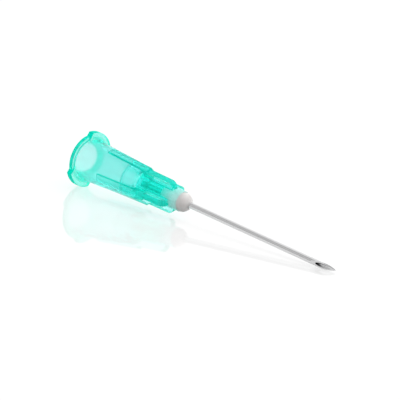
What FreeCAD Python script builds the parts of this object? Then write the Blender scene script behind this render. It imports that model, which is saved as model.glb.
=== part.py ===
"""Hypodermic needle, 21 gauge by 25 mm, lying on a table as it comes to rest.

Three real pieces share one frame: the moulded hub, the ground steel cannula, and the
adhesive that holds the cannula in the hub. All sizes are millimetres. Inside each piece
X runs from the centre of the hub's back face towards the point, and Y runs through the
two lugs. The pieces are then turned and tilted together onto the table.
"""
import FreeCAD, Part
import Sketcher
import math
import os
import re

App = FreeCAD
V = App.Vector
doc = App.newDocument("needle")

# name, value or formula, what it is
SIZES = [
    ("base_r", "3.39", "round of the flange between the lugs"),
    ("rim_t", "0.57", "flange thickness between the lugs"),
    ("lug_r", "3.9", "lugs, from the axis to their outer face"),
    ("lug_w", "4.4", "width of a lug across its two parallel sides"),
    ("lug_t", "0.85", "lug thickness"),
    ("mouth_r", "2.14", "socket radius at the back face"),
    ("lead", "0.12", "lead-in at the socket mouth"),
    ("socket_depth", "8.35", "depth of the tapered socket"),
    ("taper", "0.03", "fall of the socket radius for each mm, 6 per cent on diameter"),
    ("throat_r", "1.3", "throat between the socket floor and the funnel"),
    ("throat_x", "10.2", "front end of the throat"),
    ("barrel_r", "2.92", "barrel radius next to the flange"),
    ("barrel_root", "0.25", "fillet between flange and barrel"),
    ("barrel_end_x", "10.4", "where the barrel starts to round off"),
    ("barrel_end_r", "2.42", "barrel radius there"),
    ("core_r", "1.46", "core radius behind the fins"),
    ("collar_r", "1.4", "outer radius of the front collar"),
    ("hub_len", "17.8", "back face to front of the collar"),
    ("rib_x", "4.7", "square back end of the ribs"),
    ("rib_top", "2.98", "rib height from the axis at its back end"),
    ("rib_low", "2.67", "rib height from the axis at the step"),
    ("rib_t", "1", "rib and fin thickness"),
    ("step_x", "11.75", "step from rib to fin"),
    ("step_run", "0.2", "run of the sloped step"),
    ("fin_top", "2.38", "fin height from the axis at the step"),
    ("fin_low", "2.32", "fin height from the axis at the nose"),
    ("nose_back", "1.3", "front end of the fins, behind the front of the collar"),
    ("nose_r", "0.9", "round of the fin nose"),
    ("edge_r", "0.1", "round of the moulded outer edges"),
    ("rim_edge", "0.05", "round of the thin front rim"),
    ("tube_r", "0.41", "cannula outside radius"),
    ("lumen_r", "0.255", "cannula bore radius"),
    ("bore_gap", "0.025", "clearance of the core bore round the cannula"),
    ("tube_x", "10.8", "back end of the cannula"),
    ("exposed", "25", "cannula in front of the adhesive"),
    ("bevel_deg", "12.5", "angle of the first grind to the axis, degrees"),
    ("lancet_deg", "17", "angle of the two side grinds to the axis, degrees"),
    ("lancet_turn", "38", "turn of the side grinds from the first one, degrees"),
    ("bevel_turn", "116.5", "way the bevel faces, counted from the upper lug, degrees"),
    ("cut_over", "0.5", "how far the grinding cuts run past the point"),
    ("cut_run", "6", "how far they run back"),
    ("well_deep", "3", "depth of the adhesive well"),
    ("well_r", "0.95", "well radius at its floor"),
    ("well_mouth_r", "1.26", "well radius at the front of the collar"),
    ("bead_r", "1.33", "adhesive radius on the front of the collar"),
    ("bead_flat", "0.05", "straight start of the bead"),
    ("dome_r", "1.4", "round of the bead's dome"),
    ("dome_run", "1.25", "length of the dome"),
    ("foot_r", "0.3", "hollow round where the adhesive meets the cannula"),
    ("foot_run", "0.23", "length of that round"),
    ("corner_in", "7", "how far inside the lug's corner it touches the table, degrees"),
    ("tip_touch", "42.6", "where the cannula touches the table, along the axis"),
    # the rest follows from the sizes above
    ("fin_x", "=hub_len - nose_back", "front end of the fins"),
    ("well_x", "=hub_len - well_deep", "floor of the adhesive well"),
    ("bore_r", "=tube_r + bore_gap", "bore of the core"),
    ("socket_end_r", "=mouth_r - taper * socket_depth", "socket radius at its floor"),
    ("round_r", "=barrel_end_r - core_r", "round from barrel to core"),
    ("lug_y", "=sqrt(lug_r * lug_r - 0.25 * lug_w * lug_w)", "lug corner, along the lugs"),
    ("dome_x", "=hub_len + bead_flat", "start of the dome"),
    ("dome_end_r", "=bead_r - dome_r + sqrt(dome_r * dome_r - dome_run * dome_run)", "its end radius"),
    ("bead_x", "=dome_x + dome_run + foot_run", "front end of the adhesive"),
    ("tip_x", "=bead_x + exposed", "point of the cannula"),
    ("bevel_slope", "=tan(bevel_deg * 1 deg)", "rise of the first grind"),
    ("lancet_slope", "=tan(lancet_deg * 1 deg)", "rise of the side grinds"),
    ("side_low", "=tube_r * cos(lancet_turn * 1 deg)", "point height in a side grind's plane"),
    ("fall", "=lug_r - edge_r - tube_r", "from the round of the lug's edge down to the cannula wall"),
    ("run", "=tip_touch - lug_t + edge_r", "along the axis between those two"),
    ("dip", "=asin(edge_r / sqrt(fall * fall + run * run)) / 1 deg", "share of that round, degrees"),
    ("tilt", "=atan(fall / run) / 1 deg + dip", "slope of the axis, degrees"),
    ("lug_half", "=asin(0.5 * lug_w / lug_r) / 1 deg", "half the angle of a lug, degrees"),
    ("roll", "=90 - lug_half + corner_in", "turn of the lugs, degrees"),
    ("axis_up", "=tube_r * cos(tilt * 1 deg) + tip_touch * sin(tilt * 1 deg)", "height of the axis at the back"),
    ("half_long", "=0.5 * (tip_x * cos(tilt * 1 deg) - lug_r * sin(tilt * 1 deg))", "back to the middle"),
]

table = doc.addObject("Spreadsheet::Sheet", "sizes")
for row, (name, value, words) in enumerate(SIZES, start=1):
    table.set("A%d" % row, name)
    table.set("B%d" % row, value)
    table.set("C%d" % row, words)
    table.setAlias("B%d" % row, name)
doc.recompute()


def bound(text):
    """An expression over the table's names, as the document's engine reads it."""
    return re.sub(r"[a-z_]\w*", r"sizes.\g<0>", text)


def number(text):
    """Its present value."""
    value = table.evalExpression(bound(text))
    return float(getattr(value, "Value", value))


def origin_part(body, role):
    return [item for item in body.Origin.OriginFeatures if item.Role == role][0]


def sketch_on(body, name, role, turn=None):
    """A sketch on one of the body's own origin planes, turned about X if asked."""
    sketch = body.newObject("Sketcher::SketchObject", name)
    sketch.AttachmentSupport = [(origin_part(body, role), "")]
    sketch.MapMode = "FlatFace"
    if turn is not None:
        sketch.AttachmentOffset = App.Placement(V(0, 0, 0), App.Rotation(V(1, 0, 0), turn))
    return sketch


def outline(sketch, corners):
    """Closes a loop through corners, each (x, y) or (x, y, radius, side) as expressions.

    A radius makes the edge that leaves the corner an arc, with its centre on the left
    of the way round for side 1 and on the right for side -1.
    """
    spots = [V(number(corner[0]), number(corner[1]), 0) for corner in corners]
    count = len(corners)
    first = {}
    last = {}
    for i, corner in enumerate(corners):
        a = spots[i]
        b = spots[(i + 1) % count]
        if len(corner) == 2:
            sketch.addGeometry(Part.LineSegment(a, b), False)
        else:
            r = number(corner[2])
            half = (b - a) * 0.5
            left = V(-half.y, half.x, 0).normalize() * corner[3]
            centre = a + half + left * math.sqrt(max(r * r - half.Length ** 2, 0.0))
            sketch.addGeometry(Part.Arc(a, centre - left * r, b), False)
        kept = (sketch.getPoint(i, 1) - a).Length < (sketch.getPoint(i, 2) - a).Length
        first[i], last[i] = (1, 2) if kept else (2, 1)
    for i, corner in enumerate(corners):
        after = (i + 1) % count
        sketch.addConstraint(Sketcher.Constraint("Coincident", i, last[i], after, first[after]))
        for kind, axis, text in (("DistanceX", -2, corner[0]), ("DistanceY", -1, corner[1])):
            value = number(text)
            if value == 0:
                sketch.addConstraint(Sketcher.Constraint("PointOnObject", i, first[i], axis))
                continue
            ends = (-1, 1, i, first[i]) if value > 0 else (i, first[i], -1, 1)
            index = sketch.addConstraint(Sketcher.Constraint(kind, *ends, abs(value)))
            words = bound(text) if value > 0 else "-(%s)" % bound(text)
            sketch.setExpression("Constraints[%d]" % index, words)
        if len(corner) > 2:
            index = sketch.addConstraint(Sketcher.Constraint("Radius", i, number(corner[2])))
            sketch.setExpression("Constraints[%d]" % index, bound(corner[2]))
    doc.recompute()


def feature(body, kind, name, sketch, **settings):
    """Adds a sketch-based feature as the body's new tip."""
    item = body.newObject("PartDesign::" + kind, name)
    item.Profile = sketch
    for key, value in settings.items():
        setattr(item, key, value)
    sketch.Visibility = False
    body.Tip = item
    return item


def turned(body, kind, name, sketch):
    item = feature(body, kind, name, sketch, ReferenceAxis=(sketch, ["H_Axis"]), Angle=360)
    doc.recompute()
    return item


def new_body(name):
    body = doc.addObject("PartDesign::Body", name)
    body.Label = name
    return body


# Hub: flange, barrel, shoulder, core and front collar as one turned shape
hub = new_body("hub")
shell = sketch_on(hub, "shell_profile", "XY_Plane")
outline(shell, [
    ("0", "0"),
    ("0", "base_r - edge_r", "edge_r", -1),
    ("edge_r", "base_r"),
    ("rim_t - edge_r", "base_r", "edge_r", -1),
    ("rim_t", "base_r - edge_r"),
    ("rim_t", "barrel_r + barrel_root", "barrel_root", 1),
    ("rim_t + barrel_root", "barrel_r"),
    ("barrel_end_x", "barrel_end_r", "round_r", -1),
    ("barrel_end_x + round_r", "core_r"),
    ("hub_len - rim_edge", "collar_r", "rim_edge", -1),
    ("hub_len", "collar_r - rim_edge"),
    ("hub_len", "0"),
])
turned(hub, "Revolution", "shell", shell)

# Four ribs that step down to fins, halfway between the lugs
rib_side = sketch_on(hub, "rib_profile", "XY_Plane", 45)
outline(rib_side, [
    ("rib_x", "tube_r"),
    ("rib_x", "rib_top - edge_r", "edge_r", -1),
    ("rib_x + edge_r", "rib_top"),
    ("step_x", "rib_low"),
    ("step_x + step_run", "fin_top"),
    ("fin_x - nose_r", "fin_low", "nose_r", -1),
    ("fin_x", "fin_low - nose_r"),
    ("fin_x", "tube_r"),
])
rib = feature(hub, "Pad", "rib", rib_side, SideType="Symmetric")
rib.setExpression("Length", "sizes.rib_t")
doc.recompute()
ribs = hub.newObject("PartDesign::PolarPattern", "ribs")
ribs.Originals = [rib]
ribs.Axis = (origin_part(hub, "X_Axis"), [""])
ribs.Angle = 360
ribs.Occurrences = 4
hub.Tip = ribs
doc.recompute()

# Two lugs, opposite each other, with parallel sides
lug_face = sketch_on(hub, "lug_outline", "YZ_Plane")
outline(lug_face, [
    ("lug_y", "0.5 * lug_w"),
    ("-lug_y", "0.5 * lug_w", "lug_r", 1),
    ("-lug_y", "-0.5 * lug_w"),
    ("lug_y", "-0.5 * lug_w", "lug_r", 1),
])
lugs = feature(hub, "Pad", "lugs", lug_face)
lugs.setExpression("Length", "sizes.lug_t")
doc.recompute()

# Soft edges round the outside of the lugs
reach = number("lug_r")
soft = []
for index, edge in enumerate(lugs.Shape.Edges, start=1):
    middle = edge.valueAt(0.5 * (edge.FirstParameter + edge.LastParameter))
    if abs(math.hypot(middle.y, middle.z) - reach) < 0.01:
        soft.append("Edge%d" % index)
rounds = hub.newObject("PartDesign::Fillet", "lug_rounds")
rounds.Base = (lugs, soft)
rounds.setExpression("Radius", "sizes.edge_r")
hub.Tip = rounds
doc.recompute()

# Tapered socket, funnel, bore for the cannula and well for the adhesive
cavity = sketch_on(hub, "cavity_profile", "XY_Plane")
outline(cavity, [
    ("0", "0"),
    ("0", "mouth_r + lead"),
    ("lead", "mouth_r"),
    ("socket_depth", "socket_end_r"),
    ("socket_depth", "throat_r"),
    ("throat_x", "throat_r"),
    ("tube_x", "bore_r"),
    ("well_x", "bore_r"),
    ("well_x", "well_r"),
    ("hub_len", "well_mouth_r"),
    ("hub_len", "0"),
])
turned(hub, "Groove", "cavity", cavity)

# Cannula: drawn tube, then the first grind and the two side grinds that make the point
cannula = new_body("cannula")
wall = sketch_on(cannula, "tube_profile", "XY_Plane")
outline(wall, [
    ("tube_x", "lumen_r"),
    ("tube_x", "tube_r"),
    ("tip_x", "tube_r"),
    ("tip_x", "lumen_r"),
])
turned(cannula, "Revolution", "tube", wall)
GRINDS = [
    ("first_grind", "bevel_turn", "tube_r", "bevel_slope"),
    ("left_grind", "bevel_turn + lancet_turn", "side_low", "lancet_slope"),
    ("right_grind", "bevel_turn - lancet_turn", "side_low", "lancet_slope"),
]
for name, turn, low, slope in GRINDS:
    cut = sketch_on(cannula, name + "_line", "XY_Plane", number(turn))
    outline(cut, [
        ("tip_x + cut_over", "-%s - cut_over * %s" % (low, slope)),
        ("tip_x - cut_run", "cut_run * %s - %s" % (slope, low)),
        ("tip_x - cut_run", "4 * tube_r"),
        ("tip_x + cut_over", "4 * tube_r"),
    ])
    grind = feature(cannula, "Pocket", name, cut, SideType="Symmetric")
    grind.setExpression("Length", "8 * sizes.tube_r")
    doc.recompute()

# Adhesive: fills the well and ends in a dome round the cannula
adhesive = new_body("adhesive")
bead = sketch_on(adhesive, "bead_profile", "XY_Plane")
outline(bead, [
    ("well_x", "tube_r"),
    ("well_x", "well_r"),
    ("hub_len", "well_mouth_r"),
    ("hub_len", "bead_r"),
    ("dome_x", "bead_r", "dome_r", -1),
    ("dome_x + dome_run", "dome_end_r", "foot_r", 1),
    ("bead_x", "tube_r"),
])
turned(adhesive, "Revolution", "bead", bead)

# The needle lies on the outer face of its lower lug and on the cannula next to the bevel
rest = App.Rotation(0, number("tilt"), number("roll"))
back = V(-number("half_long"), 0, number("axis_up"))
os.makedirs("parts", exist_ok=True)
for body in (hub, cannula, adhesive):
    body.Placement = App.Placement(back, rest)
doc.recompute()

for item in doc.Objects:
    if "Invalid" in item.State or "Error" in item.State:
        raise RuntimeError("%s did not compute: %s" % (item.Name, item.State))
for body in (hub, cannula, adhesive):
    shape = body.Shape
    if shape.isNull() or not shape.isValid() or len(shape.Solids) != 1:
        raise RuntimeError("%s is not one sound solid" % body.Label)
    shape.exportStep("parts/%s.step" % body.Label)
    box = shape.BoundBox
    print(body.Label, "volume %.3f" % shape.Volume, "x %.3f %.3f" % (box.XMin, box.XMax),
          "y %.3f %.3f" % (box.YMin, box.YMax), "z %.3f %.3f" % (box.ZMin, box.ZMax))
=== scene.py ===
import bpy
import math
from mathutils import Matrix, Vector

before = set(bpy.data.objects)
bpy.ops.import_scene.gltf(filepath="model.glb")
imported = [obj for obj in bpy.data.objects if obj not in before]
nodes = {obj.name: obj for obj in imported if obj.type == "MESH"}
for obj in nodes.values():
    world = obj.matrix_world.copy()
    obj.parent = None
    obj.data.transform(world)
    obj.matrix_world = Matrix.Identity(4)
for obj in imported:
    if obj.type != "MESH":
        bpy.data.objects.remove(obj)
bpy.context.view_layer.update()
scene = bpy.context.scene

# The needle's line as it lies: the centre of the hub's back face and the way to the point
MM = 0.001
TILT = math.radians(4.7685)
AXIS = (math.cos(TILT), 0, -math.sin(TILT))
HUB_BACK = (-21.9262 * MM, 0, 3.9492 * MM)

# Regions of the hub: places along the line (X) and distances from it (R).
# A pair of places goes with a pair of values, and what lies between them is blended.
SOCKET_X = 8.4 * MM
SOCKET_R = 2.3 * MM
FLANGE_X = 1.1 * MM
FLANGE_R = 2.93 * MM
FLANGE_FACE_R = (3.0 * MM, 3.4 * MM)
RIM_R = 3.2 * MM
RIB_X = 4.6 * MM
RIB_TOP_X = (4.7 * MM, 11.75 * MM)
RIB_TOP_R = (2.9 * MM, 2.6 * MM)
FIN_X = 11.8 * MM
FIN_R = 1.6 * MM
SHOULDER_X = (10.4 * MM, 11.8 * MM)
SHOULDER_R = (2.6 * MM, 1.6 * MM)
CORE_X = (10.6 * MM, 11.2 * MM)
WELL_X = (14.6 * MM, 16.4 * MM)
COLLAR_FRONT_X = (17.48 * MM, 17.88 * MM)

# Cosines that tell the hub's faces apart: the rim's wall from the flange's faces, and the
# edge of a fin from its flanks
RIM_WALL = 0.7
CREST = 0.5

# How far a surface turns from the eye: 0 is square to it and 1 is edge on
EDGE_ON = (0.35, 0.85)

# How much of a surface carries painted glow or painted pale light, and how deep its painted tint is
RIM_GLOW = 0.88
FLANGE_GLOW = (0.65, 0.22)
FIN_GLOW = 0.5
RIB_GLOW = 0.25
PAINTED_PALE_SHARE = 0.3
CORE_DEPTH = (0.0, 1.0)
COLLAR_DEPTH = (1.0, 0.25)
EDGE_DEPTH = (0.0, 0.9)

# The plastic's absorption and haze for each metre
TINT_DENSITY = 700
CLOUD_DENSITY = 120

# Grain of the three materials for each metre, and the roughness that it varies
PLASTIC_GRAIN = 900
PLASTIC_ROUGH = (0.10, 0.18)
STEEL_GRAIN = 1500
STEEL_ROUGH = (0.22, 0.34)
STEEL_DRAWN = (0.05, 1, 1)
RESIN_GRAIN = 1200
GRAIN_SPAN = (0.3, 0.7)
NONE_TO_ALL = (0.0, 1.0)

WHITE = (1, 1, 1, 1)
# Painted deeper tint of the solid core and of faces seen edge on
DEEP_GREEN = (0.08, 1.0, 0.9, 1)
# Painted glow: the turquoise of the light put on rims, rib tops and fin edges
PAINTED_GLOW_GREEN = (0.0, 1.0, 0.8, 1)
SHEEN_GREEN = (0.12, 1.0, 0.95, 1)
TINT_GREEN = (0.0, 0.998, 0.96, 1)
CLOUD_GREEN = (0.2, 1.0, 0.98, 1)
STEEL_GREY = (0.72, 0.72, 0.725, 1)
BEAD_DARK = (0.83, 0.785, 0.77, 1)
BEAD_LIGHT = (0.92, 0.905, 0.89, 1)
# Resin in the well is painted lighter, against the shade that falls on it inside the plastic
WELL_PAINTED_LIFT = (0.97, 0.98, 0.95, 1)
FLOOR_GREY = (0.35, 0.35, 0.35, 1)

BOND_SWELL = 0.01 * MM
FLOOR_SIZE = 6
FLOOR_LIFT = 0.57
FLOOR_GLOSS = 0.2


def material(name):
    """A new material that holds only its output node."""
    mat = bpy.data.materials.new(name)
    mat.use_nodes = True
    tree = mat.node_tree
    tree.nodes.clear()
    out = tree.nodes.new("ShaderNodeOutputMaterial")
    return mat, tree, out


def put(tree, entry, value):
    """Feeds an input with another node's output, or with a plain value."""
    if isinstance(value, bpy.types.NodeSocket):
        tree.links.new(value, entry)
    else:
        entry.default_value = value


def add(tree, kind, **values):
    """A node, with its settings in lower case and its inputs by their names."""
    node = tree.nodes.new(kind)
    for key, value in values.items():
        if key[0].islower():
            setattr(node, key, value)
        else:
            put(tree, node.inputs[key.replace("_", " ")], value)
    return node


def number(tree, operation, first, second=0.0):
    node = add(tree, "ShaderNodeMath", operation=operation)
    put(tree, node.inputs[0], first)
    put(tree, node.inputs[1], second)
    return node.outputs["Value"]


def product(tree, value, *others):
    for other in others:
        value = number(tree, "MULTIPLY", value, other)
    return value


def largest(tree, value, *others):
    for other in others:
        value = number(tree, "MAXIMUM", value, other)
    return value


def vector(tree, operation, first, second=(0, 0, 0)):
    node = add(tree, "ShaderNodeVectorMath", operation=operation)
    put(tree, node.inputs[0], first)
    put(tree, node.inputs[1], second)
    return node.outputs["Value" if operation in ("DOT_PRODUCT", "LENGTH") else "Vector"]


def ramp(tree, value, span, levels, **settings):
    """Goes from the first level to the second while value runs through span."""
    node = add(tree, "ShaderNodeMapRange", Value=value, **settings)
    for entry, bound in zip(("From Min", "From Max", "To Min", "To Max"), span + levels):
        node.inputs[entry].default_value = bound
    return node.outputs["Result"]


def colours(tree, share, first, second):
    """A mix of two colours."""
    node = add(tree, "ShaderNodeMix", data_type="RGBA")
    for entry, value in ((0, share), (6, first), (7, second)):
        put(tree, node.inputs[entry], value)
    return node.outputs[2]


def blend(tree, share, first, second):
    """A mix of two shaders."""
    node = add(tree, "ShaderNodeMixShader", Fac=share)
    tree.links.new(first.outputs[0], node.inputs[1])
    tree.links.new(second.outputs[0], node.inputs[2])
    return node


def both(tree, first, second):
    """The sum of two shaders."""
    node = add(tree, "ShaderNodeAddShader")
    tree.links.new(first.outputs[0], node.inputs[0])
    tree.links.new(second.outputs[0], node.inputs[1])
    return node


def rays(tree, *kinds):
    """1 for rays of any of these kinds, and 0 for others."""
    path = add(tree, "ShaderNodeLightPath")
    return largest(tree, *[path.outputs["Is %s Ray" % kind] for kind in kinds])


def noise(tree, scale, levels, stretch=(1, 1, 1)):
    """Soft noise in object space, as a number between the two levels."""
    coord = add(tree, "ShaderNodeTexCoord")
    mapping = add(tree, "ShaderNodeMapping", Vector=coord.outputs["Object"], Scale=stretch)
    texture = add(tree, "ShaderNodeTexNoise", Vector=mapping.outputs["Vector"], Scale=scale)
    return ramp(tree, texture.outputs["Fac"], GRAIN_SPAN, levels)


def position(tree):
    """Place along the needle, distance from its line, and the way round it."""
    coord = add(tree, "ShaderNodeTexCoord")
    from_back = vector(tree, "SUBTRACT", coord.outputs["Object"], HUB_BACK)
    across = vector(tree, "CROSS_PRODUCT", from_back, AXIS)
    along = vector(tree, "DOT_PRODUCT", from_back, AXIS)
    return along, vector(tree, "LENGTH", across), vector(tree, "NORMALIZE", across)


def painted_tint_depth(tree, along, radius):
    """Painted tint: 1 on the solid core, less on the collar and where a surface is seen edge on; it
    stands in for the longer way light goes through thick and edge-on plastic.
    """
    view = add(tree, "ShaderNodeLayerWeight", Blend=0.5)
    edge_on = ramp(tree, view.outputs["Facing"], EDGE_ON, EDGE_DEPTH)
    inside = number(tree, "LESS_THAN", radius, ramp(tree, along, SHOULDER_X, SHOULDER_R))
    start = ramp(tree, along, CORE_X, CORE_DEPTH)
    core = product(tree, start, inside, ramp(tree, along, WELL_X, COLLAR_DEPTH))
    return largest(tree, core, edge_on)


def painted_glow_share(tree, along, radius, around):
    """Share of painted glow on the flange's rim and faces, the rib tops and the fins' edges:
    turquoise light standing in for light carried inside the plastic.
    """
    normal = add(tree, "ShaderNodeNewGeometry").outputs["Normal"]
    endwise = number(tree, "ABSOLUTE", vector(tree, "DOT_PRODUCT", normal, AXIS))
    sideways = number(tree, "LESS_THAN", endwise, RIM_WALL)
    rim = product(tree, sideways, number(tree, "GREATER_THAN", radius, RIM_R), RIM_GLOW)

    outside_barrel = number(tree, "GREATER_THAN", radius, FLANGE_R)
    at_flange = number(tree, "LESS_THAN", along, FLANGE_X)
    flange = product(tree, outside_barrel, at_flange, ramp(tree, radius, FLANGE_FACE_R, FLANGE_GLOW))

    top = number(tree, "GREATER_THAN", radius, ramp(tree, along, RIB_TOP_X, RIB_TOP_R))
    rib = product(tree, top, number(tree, "GREATER_THAN", along, RIB_X), RIB_GLOW)

    flank = number(tree, "ABSOLUTE", vector(tree, "DOT_PRODUCT", normal, around))
    crest = number(tree, "LESS_THAN", flank, CREST)
    outside_core = number(tree, "GREATER_THAN", radius, FIN_R)
    at_fins = number(tree, "GREATER_THAN", along, FIN_X)
    fin = product(tree, crest, outside_core, at_fins, FIN_GLOW)
    return largest(tree, rim, flange, rib, fin)


def plastic():
    """Hazy tinted polypropylene, pale where thin and deep where solid, with painted light: pale
    light on the socket walls, a glow on rims and edges, and a deeper tint on the core.
    """
    mat, tree, out = material("hub_plastic")
    along, radius, around = position(tree)
    # The base colour carries a painted deeper tint on the solid core and on edge-on faces
    clear = add(
        tree, "ShaderNodeBsdfPrincipled", Transmission_Weight=1.0, IOR=1.49,
        Base_Color=colours(tree, painted_tint_depth(tree, along, radius), WHITE, DEEP_GREEN),
        Specular_Tint=SHEEN_GREEN, Roughness=noise(tree, PLASTIC_GRAIN, PLASTIC_ROUGH))
    # Painted pale light: the socket walls carry a share of white translucent light
    in_bore = number(tree, "LESS_THAN", radius, SOCKET_R)
    at_socket = number(tree, "LESS_THAN", along, SOCKET_X)
    painted_pale_light = add(tree, "ShaderNodeBsdfTranslucent", Color=WHITE)
    walls = blend(tree, product(tree, in_bore, at_socket, PAINTED_PALE_SHARE), clear, painted_pale_light)
    # Painted glow: turquoise translucent and diffuse light put in place of the clear plastic
    through = add(tree, "ShaderNodeBsdfTranslucent", Color=PAINTED_GLOW_GREEN)
    back = add(tree, "ShaderNodeBsdfDiffuse", Color=PAINTED_GLOW_GREEN)
    glow = blend(tree, 0.5, through, back)
    surface = blend(tree, painted_glow_share(tree, along, radius, around), walls, glow)
    # A clear body would throw a far too dark shadow, so shadow rays pass
    open_way = add(tree, "ShaderNodeBsdfTransparent", Color=WHITE)
    lit = blend(tree, rays(tree, "Shadow"), surface, open_way)
    tint = add(tree, "ShaderNodeVolumeAbsorption", Color=TINT_GREEN, Density=TINT_DENSITY)
    cloud = add(tree, "ShaderNodeVolumeScatter", Color=CLOUD_GREEN, Density=CLOUD_DENSITY)
    tree.links.new(lit.outputs[0], out.inputs["Surface"])
    tree.links.new(both(tree, tint, cloud).outputs[0], out.inputs["Volume"])
    return mat


def steel():
    """Stainless tube with fine drawing lines along it."""
    mat, tree, out = material("cannula_steel")
    metal = add(
        tree, "ShaderNodeBsdfPrincipled", Base_Color=STEEL_GREY, Metallic=1.0,
        Roughness=noise(tree, STEEL_GRAIN, STEEL_ROUGH, stretch=STEEL_DRAWN))
    tree.links.new(metal.outputs[0], out.inputs["Surface"])
    return mat


def resin():
    """Milky cured resin, greyer in the open bead than in the well, where it is painted lighter
    against the shade inside the plastic.
    """
    mat, tree, out = material("adhesive_resin")
    bead = colours(tree, noise(tree, RESIN_GRAIN, NONE_TO_ALL), BEAD_DARK, BEAD_LIGHT)
    # Painted light: the resin is lighter in the well than in the open bead
    in_bead = ramp(tree, position(tree)[0], COLLAR_FRONT_X, NONE_TO_ALL)
    milk = add(
        tree, "ShaderNodeBsdfPrincipled", Base_Color=colours(tree, in_bead, WELL_PAINTED_LIFT, bead),
        Roughness=0.3, Subsurface_Weight=0.4, Subsurface_Radius=(1, 1, 1),
        Subsurface_Scale=0.5 * MM)
    tree.links.new(milk.outputs[0], out.inputs["Surface"])
    return mat


def white_sheet():
    """Plain white and slightly glossy. Its lift is only for rays that show it."""
    mat, tree, out = material("floor_white")
    matt = add(tree, "ShaderNodeBsdfDiffuse", Color=FLOOR_GREY)
    shine = add(tree, "ShaderNodeBsdfGlossy", Color=WHITE, Roughness=0.03)
    shown = rays(tree, "Camera", "Glossy", "Transmission")
    lift = add(tree, "ShaderNodeEmission", Color=WHITE, Strength=product(tree, shown, FLOOR_LIFT))
    sheet = both(tree, blend(tree, FLOOR_GLOSS, matt, shine), lift)
    tree.links.new(sheet.outputs[0], out.inputs["Surface"])
    return mat


def dress(obj, mat):
    obj.data.materials.clear()
    obj.data.materials.append(mat)


dress(nodes["hub"], plastic())
dress(nodes["cannula"], steel())
dress(nodes["adhesive"], resin())

# The adhesive reaches a little into the plastic, so that it shows as bonded to it
bond = nodes["adhesive"].modifiers.new("bond", "DISPLACE")
bond.strength = BOND_SWELL
bond.mid_level = 0

bpy.ops.mesh.primitive_plane_add(size=FLOOR_SIZE, location=(0, 0, 0))
floor = bpy.context.object
floor.name = "floor"
dress(floor, white_sheet())

# World: a white tent, darker on the side that the photographer stands on.
# The camera, and what is seen through the plastic, have plain white behind them.
PHOTOGRAPHER = (-0.42, -0.86, 0.30)
TENT_SPAN = (0.1, 0.8)
TENT_LIGHT = (1.0, 0.4)
world = bpy.data.worlds.new("world")
scene.world = world
world.use_nodes = True
tree = world.node_tree
tree.nodes.clear()
out = tree.nodes.new("ShaderNodeOutputWorld")
way = add(tree, "ShaderNodeTexCoord").outputs["Generated"]
facing = vector(tree, "DOT_PRODUCT", way, PHOTOGRAPHER)
tent = ramp(tree, facing, TENT_SPAN, TENT_LIGHT, interpolation_type="SMOOTHSTEP")
strength = largest(tree, tent, rays(tree, "Camera", "Transmission"))
dome = add(tree, "ShaderNodeBackground", Color=WHITE, Strength=strength)
tree.links.new(dome.outputs[0], out.inputs["Surface"])


def softbox(name, place, size, power):
    """A rectangular lamp that faces the needle."""
    data = bpy.data.lights.new(name, "AREA")
    data.shape = "RECTANGLE"
    data.size = size[0]
    data.size_y = size[1]
    data.energy = power
    lamp = bpy.data.objects.new(name, data)
    lamp.location = place
    lamp.rotation_euler = (-Vector(place)).to_track_quat("-Z", "Y").to_euler()
    scene.collection.objects.link(lamp)


softbox("key", (0.1, 0.35, 0.6), (0.7, 0.5), 0.8)
softbox("fill", (-0.5, -0.4, 0.4), (0.5, 0.5), 0.3)

# Camera: the photograph's long lens, 45 cm from a point near the needle's middle
DISTANCE = 0.45
AIM = (-1.994 * MM, 0, 2.29 * MM)
AZIMUTH = math.radians(-50.734)
ELEVATION = math.radians(13.6559)
ROLL = math.radians(7.9828)
data = bpy.data.cameras.new("camera")
data.sensor_width = 36
data.lens = 306.8
data.shift_x = 0.0135
data.shift_y = 0.018
data.clip_start = 0.01
camera = bpy.data.objects.new("camera", data)
level = Vector((-math.sin(AZIMUTH), math.cos(AZIMUTH), 0))
rise = math.cos(ELEVATION)
back = Vector((rise * math.cos(AZIMUTH), rise * math.sin(AZIMUTH), math.sin(ELEVATION)))
upright = back.cross(level)
right = level * math.cos(ROLL) + upright * math.sin(ROLL)
up = upright * math.cos(ROLL) - level * math.sin(ROLL)
turn = Matrix((right, up, back)).transposed().to_4x4()
camera.matrix_world = Matrix.Translation(Vector(AIM) + back * DISTANCE) @ turn
scene.collection.objects.link(camera)
scene.camera = camera
scene.view_settings.view_transform = "Standard"

# Light goes a long way inside the clouded plastic before it comes out
scene.cycles.max_bounces = 32
scene.cycles.transmission_bounces = 32
scene.cycles.volume_bounces = 12
